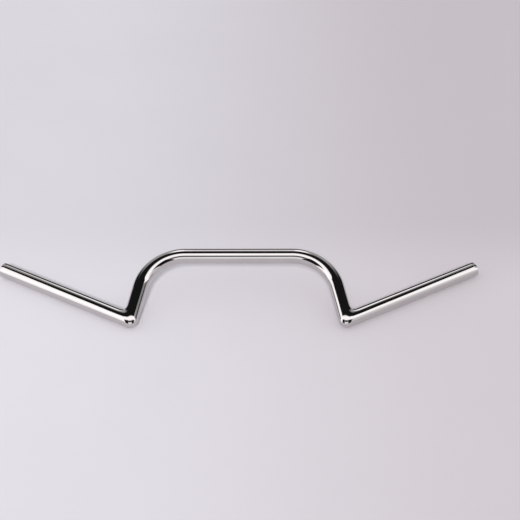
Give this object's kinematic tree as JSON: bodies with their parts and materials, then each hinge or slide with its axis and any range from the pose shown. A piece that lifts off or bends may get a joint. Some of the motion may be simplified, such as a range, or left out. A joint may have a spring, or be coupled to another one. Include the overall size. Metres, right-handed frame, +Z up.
{
  "type": "handlebar",
  "caption": "M-shaped motorcycle handlebar: one bent, chrome-plated steel tube with a raised straight clamp section, dropped legs, tight corners and swept-back grips.",
  "frame": {"origin": "middle of the straight clamp section, on the tube's axis", "axes": "+X along the clamp section to the picture's right, -Y towards the corners (the front of the motorcycle), +Z up, square to the surface that the grips rest on"},
  "size_m": [0.7152, 0.146, 0.0674],
  "materials": {
    "chrome": "bright polished chrome plate"
  },
  "bodies": {
    "root": {"handlebar": "chrome"}
  },
  "joints": []
}
